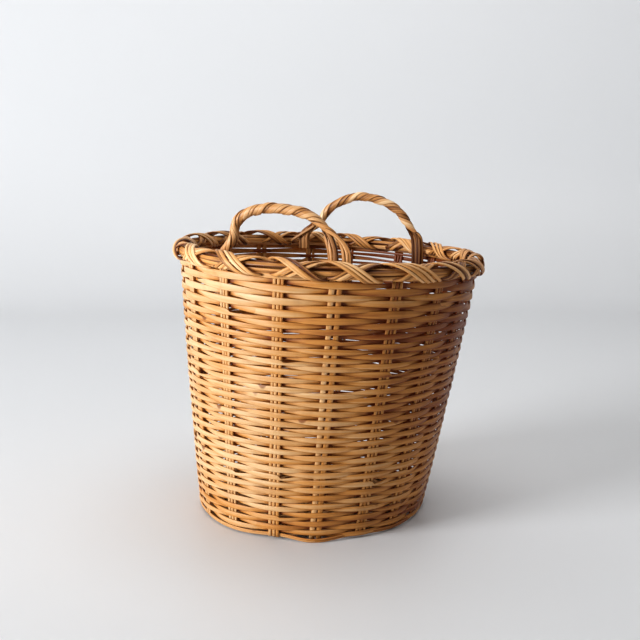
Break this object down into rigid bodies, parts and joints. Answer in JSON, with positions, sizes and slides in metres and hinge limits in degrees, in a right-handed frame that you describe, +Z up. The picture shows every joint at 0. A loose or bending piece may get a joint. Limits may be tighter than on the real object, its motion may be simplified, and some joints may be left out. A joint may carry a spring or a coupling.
{
  "type": "open woven basket",
  "caption": "Open round laundry basket of woven cane, a little crooked, with a plaited rim and two fixed twisted loop handles.",
  "frame": {"origin": "on the floor, under the middle of the rim, which is the bottom centre of the bounding box", "axes": "+Z up out of the mouth, -Y towards the front handle's side, +X towards the side the basket leans to"},
  "size_m": [0.4095, 0.4092, 0.4152],
  "materials": {
    "stake_cane": "satin",
    "weaver_cane": "satin",
    "rim_cane": "satin",
    "handle_cane": "satin",
    "base_cane": "matte"
  },
  "bodies": {
    "root": {"base_sticks_1": "base_cane", "base_sticks_2": "base_cane", "base_sticks_3": "base_cane", "base_sticks_4": "base_cane", "base_sticks_5": "base_cane", "base_sticks_6": "base_cane", "base_sticks_7": "base_cane", "base_sticks_8": "base_cane", "base_sticks_9": "base_cane", "base_weaver": "base_cane", "side_stakes_01": "stake_cane", "side_stakes_02": "stake_cane", "side_stakes_03": "stake_cane", "side_stakes_04": "stake_cane", "side_stakes_05": "stake_cane", "side_stakes_06": "stake_cane", "side_stakes_07": "stake_cane", "side_stakes_08": "stake_cane", "side_stakes_09": "stake_cane", "side_stakes_10": "stake_cane", "side_stakes_11": "stake_cane", "side_stakes_12": "stake_cane", "side_stakes_13": "stake_cane", "side_stakes_14": "stake_cane", "side_stakes_15": "stake_cane", "side_stakes_16": "stake_cane", "side_stakes_17": "stake_cane", "wall_weaver_1": "weaver_cane", "wall_weaver_2": "weaver_cane", "wall_weaver_3": "weaver_cane", "wall_weaver_4": "weaver_cane", "wall_weaver_5": "weaver_cane", "wall_weaver_6": "weaver_cane", "wall_weaver_7": "weaver_cane", "rim_core": "rim_cane", "rim_plait_01": "rim_cane", "rim_plait_02": "rim_cane", "rim_plait_03": "rim_cane", "rim_plait_04": "rim_cane", "rim_plait_05": "rim_cane", "rim_plait_06": "rim_cane", "rim_plait_07": "rim_cane", "rim_plait_08": "rim_cane", "rim_plait_09": "rim_cane", "rim_plait_10": "rim_cane", "rim_plait_11": "rim_cane", "rim_plait_12": "rim_cane", "rim_plait_13": "rim_cane", "rim_plait_14": "rim_cane", "rim_plait_15": "rim_cane", "rim_plait_16": "rim_cane", "rim_plait_17": "rim_cane", "front_handle_core": "handle_cane", "front_handle_strand_1": "handle_cane", "front_handle_strand_2": "handle_cane", "back_handle_core": "handle_cane", "back_handle_strand_1": "handle_cane", "back_handle_strand_2": "handle_cane"}
  },
  "joints": []
}
